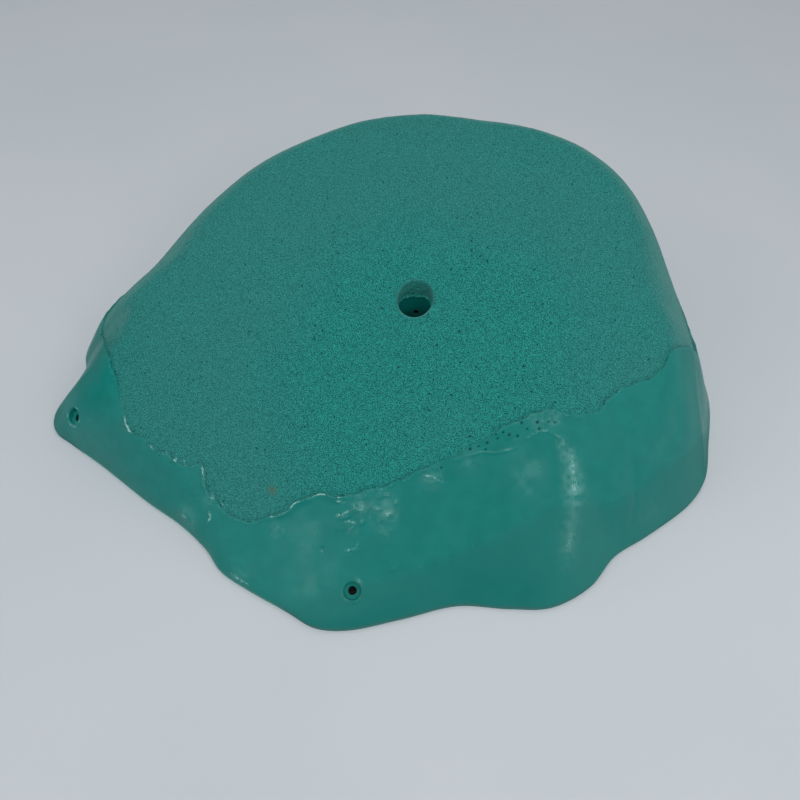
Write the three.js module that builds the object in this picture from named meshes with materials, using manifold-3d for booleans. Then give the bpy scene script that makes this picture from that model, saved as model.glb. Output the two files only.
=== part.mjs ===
// A large hollow-backed climbing hold: one polyurethane casting with a pitted gripping top and a
// smooth skirt, and the steel washers that are cast into its bolt hole and its set-screw holes.
// Millimetres, +Z out of the climbing wall, the flat back on z = 0.
import * as THREE from "three";
import { mergeVertices } from "three/addons/utils/BufferGeometryUtils.js";
import Module from "manifold-3d";

const wasm = await Module();
wasm.setup();

// Overall size
const holdLength = 422;
const holdDepth = 337;
const heightAtBolt = 83;

// Casting
const wallThickness = 12;
const rimHeight = 3.5;
const rimRounding = 5;
const ribThickness = 10;
const boltBossDiameter = 62;
const screwBossDiameter = 27;

// Clearance between a cast-in washer and the plastic round it
const castGap = 0.3;

// Fixing bolt: a counterbore from the top, a cast-in washer that fills its bottom, and a clearance
// hole through the back
const counterboreDiameter = 20.6;
const boltHoleDiameter = 11;
const boltSeatHeight = 28;
const boltWasherDiameter = counterboreDiameter - 2 * castGap;
const boltWasherBore = 10.5;
const boltWasherThickness = 2;

// Set screws: a recess for the head with a plastic ledge, and a small washer cast in under the ledge
const screwRecessDiameter = 9.2;
const screwHoleDiameter = 4.6;
const screwRecessDepth = 3;
const screwLedgeThickness = 1.2;
const screwWasherDiameter = 12;
const screwWasherBore = 5.2;
const screwWasherThickness = 1.5;

// The overrun of a cut through the back, and a height that clears the whole top
const cutOverrun = 6;
const aboveAll = 2 * heightAtBolt;

// Relief of the top, as shares of the height at the bolt that are gained at the hold's half length
// and half depth: it climbs to the back and a little to the right, and sags towards every edge.
const climbToBackShare = 0.853;
const climbToRightShare = 0.24;
const sideSagShare = 0.15;
const edgeSagShare = 0.25;
const backSagShare = 0.1;

// How far the skirt's curve follows its own chord before it turns up from the rim, as a share of it
const rimRailShare = 0.15;

// Foot outline seen from the front of the wall, anticlockwise from the right-hand end and measured
// from the bolt's axis. Each row holds a share of the length, a share of the depth, how far out the
// top's shoulder lies there as a share of the way from the bolt to the outline, and how full the
// skirt is below it: the share of its run along which it still follows the top.
const footOutlineShares = [
  [0.455, 0.0, 0.64, 0.55],
  [0.45, 0.095, 0.62, 0.55],
  [0.43, 0.184, 0.67, 0.55],
  [0.393, 0.276, 0.71, 0.58],
  [0.332, 0.368, 0.72, 0.6],
  [0.249, 0.436, 0.73, 0.55],
  [0.137, 0.484, 0.73, 0.55],
  [0.019, 0.504, 0.76, 0.55],
  [-0.1, 0.499, 0.76, 0.55],
  [-0.213, 0.463, 0.73, 0.55],
  [-0.32, 0.395, 0.72, 0.55],
  [-0.417, 0.297, 0.69, 0.5],
  [-0.486, 0.196, 0.66, 0.42],
  [-0.525, 0.122, 0.7, 0.4],
  [-0.527, 0.08, 0.75, 0.35],
  [-0.52, 0.042, 0.77, 0.25],
  [-0.529, -0.018, 0.79, 0.15],
  [-0.543, -0.064, 0.79, 0.12],
  [-0.536, -0.106, 0.81, 0.15],
  [-0.506, -0.136, 0.84, 0.22],
  [-0.453, -0.184, 0.88, 0.35],
  [-0.373, -0.263, 0.88, 0.35],
  [-0.32, -0.31, 0.88, 0.35],
  [-0.28, -0.357, 0.87, 0.35],
  [-0.256, -0.397, 0.85, 0.35],
  [-0.216, -0.431, 0.81, 0.35],
  [-0.165, -0.467, 0.77, 0.35],
  [-0.128, -0.494, 0.74, 0.35],
  [-0.088, -0.498, 0.71, 0.35],
  [-0.021, -0.48, 0.67, 0.35],
  [0.052, -0.457, 0.62, 0.4],
  [0.118, -0.462, 0.59, 0.45],
  [0.171, -0.46, 0.59, 0.45],
  [0.225, -0.424, 0.61, 0.45],
  [0.265, -0.368, 0.65, 0.5],
  [0.312, -0.331, 0.69, 0.5],
  [0.383, -0.266, 0.74, 0.5],
  [0.412, -0.219, 0.76, 0.5],
  [0.433, -0.138, 0.74, 0.5],
  [0.451, -0.055, 0.68, 0.55],
];

// Directions of the ribs that tie the bolt's boss to the skirt, in degrees from the right-hand end
const ribDirections = [30, 95, 160, 215, 325];

// Set screws: where their recess opens, as a direction from the bolt in degrees and a share of the
// way out to the outline, and how the hole points: towards a direction, leaning over by degrees
const screwSites = [
  { name: "front", direction: 257.2, reachShare: 0.897, facing: 270, lean: 27 },
  { name: "left", direction: 190.4, reachShare: 0.943, facing: 220, lean: 36 },
  { name: "back", direction: 33, reachShare: 0.975, facing: 33, lean: 50 },
];

// Fineness of the meshes
const outerColumns = 116;
const innerColumns = 72;
const outerSkirtRows = 8;
const outerTopRows = 9;
const innerSkirtRows = 5;
const innerTopRows = 4;
const roundSides = 40;
const smallRoundSides = 24;

// Height of the gripping top over a point of the back
function topHeight(x, y) {
  const along = x / (holdLength / 2);
  const back = y / (holdDepth / 2);
  const climb = climbToBackShare * back + climbToRightShare * along;
  const sag = sideSagShare * along ** 2 + edgeSagShare * back ** 2 + backSagShare * back ** 3;
  return heightAtBolt * (1 + climb - sag);
}

// The foot outline as equally spaced columns, each with its direction, its radius at the foot and at
// the shoulder, and how full its skirt is
function footColumns(count) {
  const spaced = [2, 3].map((column) => {
    const points = footOutlineShares.map(
      (row) => new THREE.Vector3(row[0] * holdLength, row[1] * holdDepth, row[column]),
    );
    const outline = new THREE.CatmullRomCurve3(points, true, "centripetal");
    outline.arcLengthDivisions = count * footOutlineShares.length;
    return outline.getSpacedPoints(count).slice(0, count);
  });
  return spaced[0].map((point, i) => {
    const radius = Math.hypot(point.x, point.y);
    return {
      cos: point.x / radius,
      sin: point.y / radius,
      foot: radius,
      shoulder: radius * point.z,
      fullness: spaced[1][i].z,
    };
  });
}

// One column's skirt, from the rim up to the shoulder, as (radius, height) points on a rounded curve
function skirtProfile(column, rows) {
  const { cos, sin, foot, shoulder, fullness } = column;
  const lowest = rimHeight + rimRounding;
  const heightAt = (radius) => Math.max(topHeight(radius * cos, radius * sin), lowest);
  const follow = shoulder + (foot - shoulder) * fullness;
  const rim = new THREE.Vector2(foot, rimHeight);
  const top = new THREE.Vector2(shoulder, heightAt(shoulder));
  const rimRail = rim.clone().lerp(top, rimRailShare);
  rimRail.y += rimRounding;
  const shoulderRail = new THREE.Vector2(follow, heightAt(follow));
  return new THREE.CubicBezierCurve(rim, rimRail, shoulderRail, top).getPoints(rows);
}

// Moves each point of a profile inwards by the wall, at right angles to the profile
function inset(profile, wall) {
  return profile.map((point, i) => {
    const before = profile[Math.max(i - 1, 0)];
    const after = profile[Math.min(i + 1, profile.length - 1)];
    const along = after.clone().sub(before).normalize();
    return new THREE.Vector2(point.x - wall * along.y, point.y + wall * along.x);
  });
}

// A closed mesh from rings of points, bottom ring first, closed at both ends by a middle point
function loft(rings, bottom, top) {
  const count = rings[0].length;
  const points = [...rings.flat(), bottom, top];
  const indices = [];
  rings.slice(1).forEach((ring, k) => {
    for (let j = 0; j < count; j++) {
      const next = (j + 1) % count;
      const low = k * count;
      const high = low + count;
      indices.push(low + j, low + next, high + next);
      indices.push(low + j, high + next, high + j);
    }
  });
  const last = (rings.length - 1) * count;
  for (let j = 0; j < count; j++) {
    const next = (j + 1) % count;
    indices.push(points.length - 2, next, j);
    indices.push(points.length - 1, last + j, last + next);
  }
  const geometry = new THREE.BufferGeometry().setFromPoints(points);
  geometry.setIndex(indices);
  return geometry;
}

// Rings of a blob whose columns run up the skirt and then over the top to the bolt's axis
function blob(columns, profiles, topRows, footHeight, heightAt) {
  const place = (column, radius, height) =>
    new THREE.Vector3(radius * column.cos, radius * column.sin, height);
  const rings = [columns.map((column, j) => place(column, profiles[j][0].x, footHeight))];
  for (let k = 0; k < profiles[0].length; k++)
    rings.push(columns.map((column, j) => place(column, profiles[j][k].x, profiles[j][k].y)));
  for (let k = 1; k < topRows; k++) {
    const share = 1 - k / topRows;
    rings.push(
      columns.map((column, j) => {
        const radius = profiles[j].at(-1).x * share;
        return place(column, radius, heightAt(radius * column.cos, radius * column.sin));
      }),
    );
  }
  return loft(
    rings,
    new THREE.Vector3(0, 0, footHeight),
    new THREE.Vector3(0, 0, heightAt(0, 0)),
  );
}

// Turns a closed geometry into a solid that can be cut and joined, and back
function solidOf(geometry) {
  const bare = geometry.clone();
  bare.deleteAttribute("normal");
  bare.deleteAttribute("uv");
  const merged = mergeVertices(bare);
  const mesh = new wasm.Mesh({
    numProp: 3,
    vertProperties: merged.attributes.position.array,
    triVerts: new Uint32Array(merged.index.array),
  });
  return new wasm.Manifold(mesh);
}

function geometryOf(solid) {
  const mesh = solid.getMesh();
  const geometry = new THREE.BufferGeometry();
  geometry.setAttribute("position", new THREE.BufferAttribute(mesh.vertProperties, 3));
  geometry.setIndex(new THREE.BufferAttribute(mesh.triVerts, 1));
  geometry.computeVertexNormals();
  return geometry;
}

// A round bar between two heights on a frame's z axis
function bar(diameter, low, high, sides, frame = new THREE.Matrix4()) {
  const geometry = new THREE.CylinderGeometry(diameter / 2, diameter / 2, high - low, sides);
  geometry.rotateX(Math.PI / 2);
  geometry.translate(0, 0, (low + high) / 2);
  return solidOf(geometry.applyMatrix4(frame));
}

// A flat steel ring standing on z = 0
function washerGeometry(outer, bore, thickness, sides) {
  const section = [
    new THREE.Vector2(bore / 2, 0),
    new THREE.Vector2(outer / 2, 0),
    new THREE.Vector2(outer / 2, thickness),
    new THREE.Vector2(bore / 2, thickness),
    new THREE.Vector2(bore / 2, 0),
  ];
  const geometry = new THREE.LatheGeometry(section, sides);
  return geometry.rotateX(Math.PI / 2);
}

// The column of the outline that lies in one direction, in degrees
function columnTowards(degrees) {
  const angle = THREE.MathUtils.degToRad(degrees);
  const closeness = (column) => Math.cos(angle) * column.cos + Math.sin(angle) * column.sin;
  const columns = footColumns(outerColumns * footOutlineShares.length);
  return columns.reduce((best, column) => (closeness(column) > closeness(best) ? column : best));
}

// The point of the skirt over a share of the way from the bolt to the outline
function skirtPoint(column, reachShare) {
  const radius = column.foot * reachShare;
  const profile = skirtProfile(column, outerSkirtRows);
  const upper = profile.findIndex((point) => point.x <= radius);
  const [below, above] = [profile[upper - 1], profile[upper]];
  const point = below.clone().lerp(above, (below.x - radius) / (below.x - above.x));
  return new THREE.Vector3(point.x * column.cos, point.x * column.sin, point.y);
}

// The frame of a set screw: its origin in the middle of the washer's back and its z axis out of the
// hole
function screwFrame(site) {
  const mouth = skirtPoint(columnTowards(site.direction), site.reachShare);
  const depth = screwRecessDepth + screwLedgeThickness + castGap + screwWasherThickness;
  return new THREE.Matrix4()
    .makeTranslation(mouth)
    .multiply(new THREE.Matrix4().makeRotationZ(THREE.MathUtils.degToRad(site.facing)))
    .multiply(new THREE.Matrix4().makeRotationY(THREE.MathUtils.degToRad(site.lean)))
    .multiply(new THREE.Matrix4().makeTranslation(0, 0, -depth));
}

function outerSolid() {
  const columns = footColumns(outerColumns);
  const profiles = columns.map((column) => skirtProfile(column, outerSkirtRows));
  return solidOf(blob(columns, profiles, outerTopRows, 0, topHeight));
}

// The hollow in the back, before the boss, the ribs and the screw bosses are left standing in it.
// Where the casting is thinner than its wall the hollow runs out below the back.
function hollowSolid() {
  const columns = footColumns(innerColumns);
  const lowestCeiling = -cutOverrun / 2;
  const profiles = columns.map((column) =>
    inset(skirtProfile(column, innerSkirtRows), wallThickness).map(
      (point) => new THREE.Vector2(point.x, Math.max(point.y, lowestCeiling)),
    ),
  );
  const ceiling = (x, y) => Math.max(topHeight(x, y) - wallThickness, lowestCeiling);
  return solidOf(blob(columns, profiles, innerTopRows, -cutOverrun, ceiling));
}

function ribSolid(direction) {
  const geometry = new THREE.BoxGeometry(holdLength, ribThickness, 2 * aboveAll);
  geometry.translate(holdLength / 2, 0, 0);
  geometry.rotateZ(THREE.MathUtils.degToRad(direction));
  return solidOf(geometry);
}

function hollowRoundItsSupports() {
  const boltBoss = bar(boltBossDiameter, -aboveAll, aboveAll, roundSides);
  const screwBosses = screwSites.map((site) =>
    bar(screwBossDiameter, -screwBossDiameter, screwBossDiameter, smallRoundSides, screwFrame(site)),
  );
  const supports = [boltBoss, ...ribDirections.map(ribSolid), ...screwBosses];
  return supports.reduce((left, support) => left.subtract(support), hollowSolid());
}

// The bolt's way through the casting
function boltCuts() {
  return [
    bar(boltHoleDiameter, -cutOverrun, boltSeatHeight + cutOverrun, roundSides),
    bar(counterboreDiameter, boltSeatHeight, aboveAll, roundSides),
  ];
}

// A set screw's way through the casting, with the pocket of its washer and the recess of its head
function screwCuts(site) {
  const frame = screwFrame(site);
  const pocketTop = screwWasherThickness + castGap;
  const ledgeTop = pocketTop + screwLedgeThickness;
  const reach = screwBossDiameter;
  return [
    bar(screwHoleDiameter, -reach, reach, smallRoundSides, frame),
    bar(screwWasherDiameter + 2 * castGap, -castGap, pocketTop, smallRoundSides, frame),
    bar(screwRecessDiameter, ledgeTop, reach, smallRoundSides, frame),
  ];
}

function shellSolid() {
  const cuts = [hollowRoundItsSupports(), ...boltCuts(), ...screwSites.flatMap(screwCuts)];
  return cuts.reduce((left, cut) => left.subtract(cut), outerSolid());
}

const plastic = new THREE.MeshStandardMaterial({ color: 0x2a8577, roughness: 0.6, metalness: 0 });
const steel = new THREE.MeshStandardMaterial({ color: 0x9a9c9e, roughness: 0.4, metalness: 1 });

function named(name, geometry, material) {
  const mesh = new THREE.Mesh(geometry, material);
  mesh.name = name;
  return mesh;
}

function boltWasher() {
  const geometry = washerGeometry(
    boltWasherDiameter,
    boltWasherBore,
    boltWasherThickness,
    roundSides,
  );
  const mesh = named("bolt_washer", geometry, steel);
  mesh.position.z = boltSeatHeight;
  return mesh;
}

function screwWasher(site) {
  const geometry = washerGeometry(
    screwWasherDiameter,
    screwWasherBore,
    screwWasherThickness,
    smallRoundSides,
  );
  const mesh = named(`screw_washer_${site.name}`, geometry, steel);
  mesh.applyMatrix4(screwFrame(site));
  return mesh;
}

const hold = new THREE.Group();
hold.add(named("hold_shell", geometryOf(shellSolid()), plastic));
hold.add(boltWasher());
hold.add(...screwSites.map(screwWasher));

// The part's origin is the middle of its box on the climbing wall
const box = new THREE.Box3().setFromObject(hold);
const middle = box.getCenter(new THREE.Vector3());
hold.position.set(-middle.x, -middle.y, 0);

export default hold;
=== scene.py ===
"""A large climbing hold: one cast polyurethane shell with a foam-like gripping top and a smooth skirt
whose edge ends in a raised bead, and the steel washers in its bolt hole and its set-screw holes.

Lengths are in millimetres, measured from the bolt's axis, until they are placed in the model's frame.
Pixels are those of the photograph, 800 by 800."""
import math
from functools import cached_property

import bpy
import numpy as np
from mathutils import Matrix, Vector
from mathutils.bvhtree import BVHTree
from mathutils.kdtree import KDTree


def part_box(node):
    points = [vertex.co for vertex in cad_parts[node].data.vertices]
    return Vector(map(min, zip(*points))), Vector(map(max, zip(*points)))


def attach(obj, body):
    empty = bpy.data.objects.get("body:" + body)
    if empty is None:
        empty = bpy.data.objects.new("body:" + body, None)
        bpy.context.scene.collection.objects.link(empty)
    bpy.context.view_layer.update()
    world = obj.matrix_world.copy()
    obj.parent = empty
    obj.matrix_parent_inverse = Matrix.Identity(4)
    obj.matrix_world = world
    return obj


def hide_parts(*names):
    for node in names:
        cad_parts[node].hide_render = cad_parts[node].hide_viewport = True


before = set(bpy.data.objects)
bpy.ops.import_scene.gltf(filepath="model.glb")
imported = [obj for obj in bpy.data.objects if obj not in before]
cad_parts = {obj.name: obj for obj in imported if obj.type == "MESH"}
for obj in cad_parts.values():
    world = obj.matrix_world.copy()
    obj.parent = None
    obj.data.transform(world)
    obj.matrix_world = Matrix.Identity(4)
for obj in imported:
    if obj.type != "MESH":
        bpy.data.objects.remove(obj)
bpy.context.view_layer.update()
scene = bpy.context.scene

MM = 0.001

# Sizes of the casting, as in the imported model
HOLD_LENGTH, HOLD_DEPTH, HEIGHT_AT_BOLT = 422.0, 337.0, 83.0
WALL, RIM_HEIGHT, RIM_ROUNDING, RIM_RAIL_SHARE = 12.0, 3.5, 5.0, 0.15
RIB_THICKNESS, BOLT_BOSS_RADIUS, SCREW_BOSS_RADIUS = 10.0, 31.0, 13.5
COUNTERBORE_RADIUS, BOLT_HOLE_RADIUS, BOLT_SEAT_HEIGHT = 10.3, 5.5, 28.0
SCREW_RECESS_RADIUS, SCREW_HOLE_RADIUS, SCREW_POCKET_RADIUS = 4.6, 2.3, 6.3
SCREW_POCKET_BOTTOM, SCREW_POCKET_TOP, SCREW_LEDGE_TOP, SCREW_MOUTH = -0.3, 1.8, 3.0, 6.0
SCREW_WASHER_MIDDLE, SCREW_HOLE_BOTTOM = 0.75, -27.0
RIB_DIRECTIONS = (30, 95, 160, 215, 325)

# Relief of the top, as shares of the height at the bolt
CLIMB_TO_BACK, CLIMB_TO_RIGHT, SIDE_SAG, EDGE_SAG, BACK_SAG = 0.853, 0.24, 0.15, 0.25, 0.1

# Foot outline from the right-hand end, anticlockwise, in thousandths: shares of the length and of the
# depth, how far out the top's shoulder lies there, and how full the skirt is
FOOT_OUTLINE = np.array([
    (455, 0, 640, 550), (450, 95, 620, 550), (430, 184, 670, 550), (393, 276, 710, 580),
    (332, 368, 720, 600), (249, 436, 730, 550), (137, 484, 730, 550), (19, 504, 760, 550),
    (-100, 499, 760, 550), (-213, 463, 730, 550), (-320, 395, 720, 550), (-417, 297, 690, 500),
    (-486, 196, 660, 420), (-525, 122, 700, 400), (-527, 80, 750, 350), (-520, 42, 770, 250),
    (-529, -18, 790, 150), (-543, -64, 790, 120), (-536, -106, 810, 150), (-506, -136, 840, 220),
    (-453, -184, 880, 350), (-373, -263, 880, 350), (-320, -310, 880, 350), (-280, -357, 870, 350),
    (-256, -397, 850, 350), (-216, -431, 810, 350), (-165, -467, 770, 350), (-128, -494, 740, 350),
    (-88, -498, 710, 350), (-21, -480, 670, 350), (52, -457, 620, 400), (118, -462, 590, 450),
    (171, -460, 590, 450), (225, -424, 610, 450), (265, -368, 650, 500), (312, -331, 690, 500),
    (383, -266, 740, 500), (412, -219, 760, 500), (433, -138, 740, 500), (451, -55, 680, 550),
]) / 1000

# Fineness of the mesh
COLUMNS, ROWS, MOUTH_ROWS, BORE_COLUMNS, BORE_ROWS = 1344, 340, 6, 336, 96
COARSE_COLUMNS, COARSE_ROWS, SKIRT_SAMPLES, TOP_SAMPLES = 288, 110, 161, 200
HOLLOW_COLUMNS, HOLLOW_ROWS, HOLLOW_VOXEL = 288, 25, 2.2

# Along the texture's edge the rows lie closer together, by that share and within that reach
EDGE_CROWDING, EDGE_REACH = 1.6, 9.0

# Heights of the rim's rows, and the rounding of the bolt hole's mouth
RIM_LEVELS = (0.0, 0.7, 1.5, 2.5)
BORE_MOUTH_ROUNDING = 2.2

# The camera of the photograph, from the bolt's axis on the floor: a lens as long as the picture is wide
CAMERA_PLACE, CAMERA_PITCH, PICTURE = np.array([-8.9, -345.6, 401.0]), math.radians(50), 800.0

low, high = (np.array(corner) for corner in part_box("bolt_washer"))
BOLT_AXIS = (low + high)[:2] / 2 / MM


def to_frame(points):
    """Points from the bolt's axis, in millimetres, as points of the model's frame, in metres."""
    return (np.asarray(points, float) + [*BOLT_AXIS, 0]) * MM


# The smooth form


def length(vectors):
    return np.linalg.norm(vectors, axis=-1)


def top_height(x, y):
    along, back = x / (HOLD_LENGTH / 2), y / (HOLD_DEPTH / 2)
    climb = CLIMB_TO_BACK * back + CLIMB_TO_RIGHT * along
    sag = SIDE_SAG * along**2 + EDGE_SAG * back**2 + BACK_SAG * back**3
    return HEIGHT_AT_BOLT * (1 + climb - sag)


def closed_spline(points, per_span):
    """A closed centripetal spline through the points."""
    before, here, after, beyond = (np.roll(points, k, axis=0) for k in (1, 0, -1, -2))
    d0, d1, d2 = (np.sqrt(length(b - a))[:, None] for a, b in
                  ((before, here), (here, after), (after, beyond)))
    leave = ((here - before) / d0 - (after - before) / (d0 + d1) + (after - here) / d1) * d1
    arrive = ((after - here) / d1 - (beyond - here) / (d1 + d2) + (beyond - after) / d2) * d1
    t = np.linspace(0, 1, per_span, endpoint=False)[:, None, None]
    bend, twist = -3 * here + 3 * after - 2 * leave - arrive, 2 * here - 2 * after + leave + arrive
    curve = here + leave * t + bend * t**2 + twist * t**3
    return curve.transpose(1, 0, 2).reshape(-1, points.shape[1])


def foot_columns(count):
    """Equally spaced points of the outline, each with its shoulder and fullness."""
    curve = closed_spline(FOOT_OUTLINE * [HOLD_LENGTH, HOLD_DEPTH, 1, 1], 60)
    curve = np.vstack([curve, curve[:1]])
    run = np.r_[0, np.cumsum(length(np.diff(curve[:, :2], axis=0)))]
    at = np.linspace(0, run[-1], count, endpoint=False)
    return np.column_stack([np.interp(at, run, curve[:, k]) for k in range(4)])


def skirt(columns, samples):
    """Radius and height of the skirt from the rim to the shoulder, samples by columns."""
    foot = np.hypot(columns[:, 0], columns[:, 1])
    cos, sin = columns[:, 0] / foot, columns[:, 1] / foot
    shoulder = foot * columns[:, 2]
    follow = shoulder + (foot - shoulder) * columns[:, 3]

    def height(radius):
        return np.maximum(top_height(radius * cos, radius * sin), RIM_HEIGHT + RIM_ROUNDING)

    rim = np.array([foot, np.full_like(foot, RIM_HEIGHT)])
    top = np.array([shoulder, height(shoulder)])
    rail = rim + (top - rim) * RIM_RAIL_SHARE + [[0], [RIM_ROUNDING]]
    shoulder_rail = np.array([follow, height(follow)])
    t = np.linspace(0, 1, samples)[:, None, None]
    curve = (1 - t) ** 3 * rim + 3 * (1 - t) ** 2 * t * rail
    curve = curve + 3 * (1 - t) * t**2 * shoulder_rail + t**3 * top
    return cos, sin, curve[:, 0], curve[:, 1]


def outer_grid(count, rows, mouth, edge_run=None):
    """Rows of points from the foot up the skirt and over the top to the bolt hole's mouth, closer
    together where the texture ends, with the run of every column up to each row."""
    cos, sin, radius, height = skirt(foot_columns(count), SKIRT_SAMPLES)
    inward = np.linspace(0, 1, TOP_SAMPLES)[1:, None]
    top_radius = radius[-1] + (mouth - radius[-1]) * inward
    radius = np.vstack([radius, top_radius])
    height = np.vstack([height, top_height(top_radius * cos, top_radius * sin)])
    steps = np.hypot(np.diff(radius, axis=0), np.diff(height, axis=0))
    run = np.vstack([np.zeros_like(cos), np.cumsum(steps, axis=0)])
    crowding = 1.0
    if edge_run is not None:
        from_edge = (run[1:] + run[:-1]) / 2 - edge_run
        crowding = 1 + EDGE_CROWDING * np.exp(-((from_edge / EDGE_REACH) ** 4))
    weight = np.vstack([np.zeros_like(cos), np.cumsum(steps * crowding, axis=0)])
    shape = [np.empty((rows + 1, count)) for _ in range(3)]
    for j in range(count):
        at = np.linspace(0, weight[-1, j], rows + 1)
        for made, values in zip(shape, (radius, height, run)):
            made[:, j] = np.interp(at, weight[:, j], values[:, j])
    radius, height, run = shape
    rim = [np.column_stack([radius[0] * cos, radius[0] * sin, np.full(count, z)]) for z in RIM_LEVELS]
    grid = np.array(rim + [np.column_stack([r * cos, r * sin, z]) for r, z in zip(radius, height)])
    return grid, np.vstack([np.zeros((len(rim), count)), run])


def grid_normals(grid):
    across = np.roll(grid, -1, axis=1) - np.roll(grid, 1, axis=1)
    up = np.gradient(grid, axis=0)
    normal = np.cross(across, up)
    return normal / np.linalg.norm(normal, axis=2, keepdims=True)


# Noise and measures

HASH_PRIMES, SEED_PRIME = (73856093, 19349663, 83492791), 2654435761
HASH_STEPS = ((13, 1274126177), (16, 2246822519))


def noise(points, size, seed):
    """Smooth random values from -1 to 1 whose lumps are about that size."""
    p = np.asarray(points, float) / size + 1000.37
    cell = np.floor(p).astype(np.int64)
    f = p - cell
    f = f * f * f * (f * (f * 6 - 15) + 10)
    total = np.zeros(p.shape[:-1])
    for corner in range(8):
        step = np.array([corner & 1, corner >> 1 & 1, corner >> 2 & 1])
        mixed = seed * SEED_PRIME
        for k, prime in enumerate(HASH_PRIMES):
            mixed = mixed ^ (cell + step)[..., k] * prime
        for shift, factor in HASH_STEPS:
            mixed = (mixed ^ (mixed >> shift)) * factor & 0xFFFFFFFF
        value = ((mixed ^ (mixed >> 15)) & 0xFFFFFF) / 0x7FFFFF - 1
        total += value * np.prod(np.where(step, f, 1 - f), axis=-1)
    return total


def waves(points, rows):
    """The sum of noises, given as rows of size, seed and height."""
    return sum(noise(points, size, seed) * height for size, seed, height in rows)


def smooth_step(x, start, end):
    t = np.clip((x - start) / (end - start), 0, 1)
    return t * t * (3 - 2 * t)


def polyline(points, step):
    """Points spaced by about that step along the given ones."""
    points = np.asarray(points, float)
    run = np.r_[0, np.cumsum(length(np.diff(points, axis=0)))]
    at = np.linspace(0, run[-1], max(2, int(run[-1] / step)))
    return np.column_stack([np.interp(at, run, points[:, k]) for k in range(points.shape[1])])


def tree_of(points):
    tree = KDTree(len(points))
    for i, point in enumerate(points):
        tree.insert(point, i)
    tree.balance()
    return tree


def distance_to(tree, points):
    return np.array([tree.find(point)[2] for point in points.reshape(-1, 3)]).reshape(points.shape[:-1])


def bump(distance, width):
    return np.exp(-((distance / width) ** 2))


def grid_faces(rows, columns):
    """The faces between the rows of a closed grid."""
    return [(a + j, a + (j + 1) % columns, a + columns + (j + 1) % columns, a + columns + j)
            for a in range(0, (rows - 1) * columns, columns) for j in range(columns)]


base, base_run = outer_grid(COARSE_COLUMNS, COARSE_ROWS, COUNTERBORE_RADIUS)
base_tree = BVHTree.FromPolygons([tuple(p) for p in base.reshape(-1, 3)], grid_faces(*base.shape[:2]))
AHEAD = np.array([0, math.cos(CAMERA_PITCH), -math.sin(CAMERA_PITCH)])
UPWARD = np.array([0, math.sin(CAMERA_PITCH), math.cos(CAMERA_PITCH)])

# A dark card just behind the camera, seen only in reflections
CARD_CENTRE, CARD_HALF_WIDTH, CARD_HALF_HEIGHT = CAMERA_PLACE - AHEAD * 60 - UPWARD * 60, 300.0, 480.0


def spot(u, v):
    """The point of the smooth form that the photograph shows at a pixel."""
    ray = AHEAD + np.array([1, 0, 0]) * (u - PICTURE / 2) / PICTURE - UPWARD * (v - PICTURE / 2) / PICTURE
    hit = base_tree.ray_cast(Vector(CAMERA_PLACE), Vector(ray).normalized())[0]
    if hit is None:
        raise ValueError(f"pixel {u},{v} misses the hold")
    return np.array(hit)


def skirt_spot(direction, share):
    """The point of the skirt in that direction, in degrees, a share of the way up it."""
    angle = math.radians(direction)
    radius = length(base[..., :2])
    column = np.argmax(base[0, :, :2] @ [math.cos(angle), math.sin(angle)] / radius[0])
    shoulder = radius[0, column] * foot_columns(COARSE_COLUMNS)[column, 2]
    whole = np.interp(-shoulder, -radius[:, column], base_run[:, column])
    return base[np.argmin(np.abs(base_run[:, column] - share * whole)), column]


# Where the foam texture ends

# As the photograph shows it: pixels
SEEN_EDGE = [
    (102, 334), (106, 342), (108, 353), (112.5, 365), (116, 375), (118, 388), (119.5, 399),
    (125, 411), (127, 424), (131, 431), (137, 435), (147, 438), (152, 446), (158, 449), (168, 452),
    (175, 459), (184, 465), (188, 467), (196, 462.5), (204, 466), (205, 474), (206, 483),
    (210, 493), (216, 499), (223, 507), (230, 515), (239, 518.6), (251, 521), (262, 518.6),
    (273, 516), (284, 511), (295, 502), (306, 499), (319, 494), (328, 494), (340, 498), (360, 491),
    (380, 487), (390, 484), (410, 475), (430, 465), (439, 461), (456, 455), (472, 443), (490, 436),
    (502, 427), (520, 420), (536, 412), (550, 409), (561, 413), (574, 415), (592, 413), (602, 408),
    (604, 400), (620, 388), (636, 382), (652, 378), (664, 366), (670, 352), (677, 347), (686, 346),
]

# Behind the hold: direction in degrees, and share of the way up the skirt
HIDDEN_EDGE = [
    (-5, 0.46), (3, 0.4), (11, 0.43), (19, 0.4), (29, 0.5), (38, 0.52), (50, 0.6), (58, 0.57),
    (66, 0.6), (76, 0.64), (85, 0.6), (96, 0.66), (104, 0.64), (112, 0.57), (124, 0.55), (133, 0.5),
    (144, 0.52), (152, 0.46), (161, 0.44), (170, 0.41),
]
edge_line = [spot(u, v) for u, v in SEEN_EDGE] + [skirt_spot(*row) for row in HIDDEN_EDGE]
edge_line = polyline(edge_line + edge_line[:1], 1.5)[:-1]
edge_line += np.column_stack([noise(edge_line, 5, 11 + k) for k in range(3)]) * 0.7
edge_fine = polyline(np.vstack([edge_line, edge_line[:1]]), 0.3)


def inside_edge(points):
    """Whether points lie on the gripping side of the texture's edge, seen from above."""
    x, y = points[..., 0], points[..., 1]
    inside = np.zeros(x.shape, bool)
    for a, b in zip(edge_line, np.roll(edge_line, -1, axis=0)):
        crosses = (a[1] > y) != (b[1] > y)
        if crosses.any():
            inside ^= crosses & (x < (b[0] - a[0]) * (y - a[1]) / (b[1] - a[1]) + a[0])
    return inside


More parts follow.
